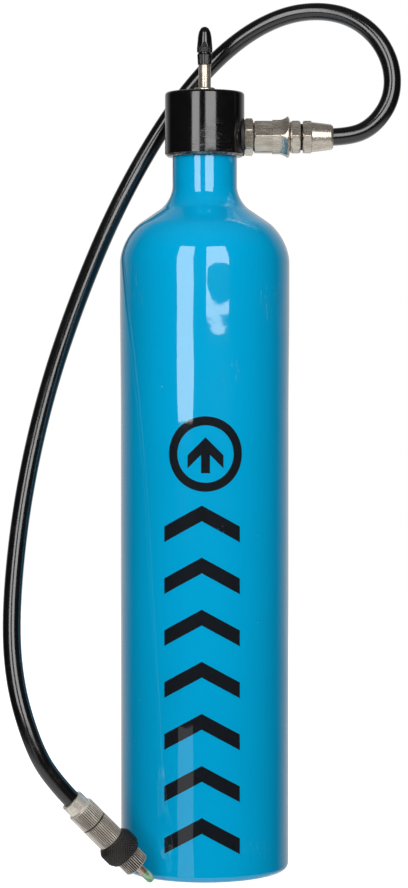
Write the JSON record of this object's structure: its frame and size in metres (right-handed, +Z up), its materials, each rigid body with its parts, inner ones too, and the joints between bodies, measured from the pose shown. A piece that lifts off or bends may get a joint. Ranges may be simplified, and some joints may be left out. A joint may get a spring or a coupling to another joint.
{
  "type": "tyre inflator bottle",
  "caption": "Upright compressed-air bottle for seating tubeless tyres: metal cylinder, black head with capped inlet valve, side swivel fitting, and rubber hose with shut-off chuck.",
  "frame": {"origin": "centre of the ring that the bottle stands on", "axes": "+Z up along the bottle, +X along the outlet fitting, -Y towards the side on which the hose's chuck rests"},
  "size_m": [0.1778, 0.0983, 0.3936],
  "materials": {
    "painted_bottle": "gloss cyan-blue paint with black printed marks",
    "black_anodised": "gloss black anodised, turned",
    "nickel": "satin nickel plating",
    "brass": "turned brass",
    "black_plastic": "moulded, satin gloss",
    "black_rubber": "moulded seal rubber",
    "hose_rubber": "smooth black hose with a soft gloss",
    "spring_steel": "spring steel",
    "green_plastic": "translucent soft plastic"
  },
  "bodies": {
    "bottle": {"bottle_shell": "painted_bottle", "neck_seal": "black_rubber", "head_block": "black_anodised", "inlet_seal": "black_rubber", "inlet_stem": "nickel", "inlet_lock_ring": "nickel", "core_body": "brass", "outlet_washer": "black_rubber", "outlet_nipple": "nickel", "swivel_body": "nickel"},
    "cap": {"inlet_cap": "black_plastic"},
    "valve_pin": {"core_pin": "brass", "core_seal": "black_rubber"},
    "pin_nut": {"core_nut": "brass"},
    "hose": {"swivel_stem": "nickel", "swivel_clip": "spring_steel", "swivel_seal": "black_rubber", "hose_nut": "nickel", "air_hose": "hose_rubber", "chuck_rear_nut": "nickel", "chuck_body": "nickel", "port_seat": "black_plastic", "valve_core_clip": "spring_steel"},
    "shutoff": {"valve_core": "brass", "valve_core_seal": "black_rubber", "valve_collar": "black_anodised", "nozzle_spigot": "brass", "nozzle_tip": "green_plastic"},
    "nozzle_nut": {"chuck_nut": "nickel"}
  },
  "joints": [
    {"name": "cap_lift", "type": "slide", "parent": "bottle", "child": "cap", "axis": [0, 0, 1], "range_m": [0, 0.045]},
    {"name": "core_press", "type": "slide", "parent": "bottle", "child": "valve_pin", "axis": [0, 0, -1], "range_m": [0, 0.0015]},
    {"name": "core_nut_turn", "type": "hinge", "parent": "valve_pin", "child": "pin_nut", "pos_m": [0, 0, 0.3746], "axis": [0, 0, 1], "continuous": true},
    {"name": "hose_swivel", "type": "hinge", "parent": "bottle", "child": "hose", "pos_m": [0.0345, 0, 0.3312], "axis": [1, 0, 0], "range_deg": [-60, 0]},
    {"name": "shutoff_turn", "type": "hinge", "parent": "hose", "child": "shutoff", "pos_m": [-0.03769, -0.04637, 0.01804], "axis": [0.6738, 0.1932, -0.7133], "range_deg": [0, 90]},
    {"name": "chuck_nut_spin", "type": "hinge", "parent": "shutoff", "child": "nozzle_nut", "pos_m": [-0.03176, -0.04467, 0.01177], "axis": [0.6738, 0.1932, -0.7133], "continuous": true}
  ]
}
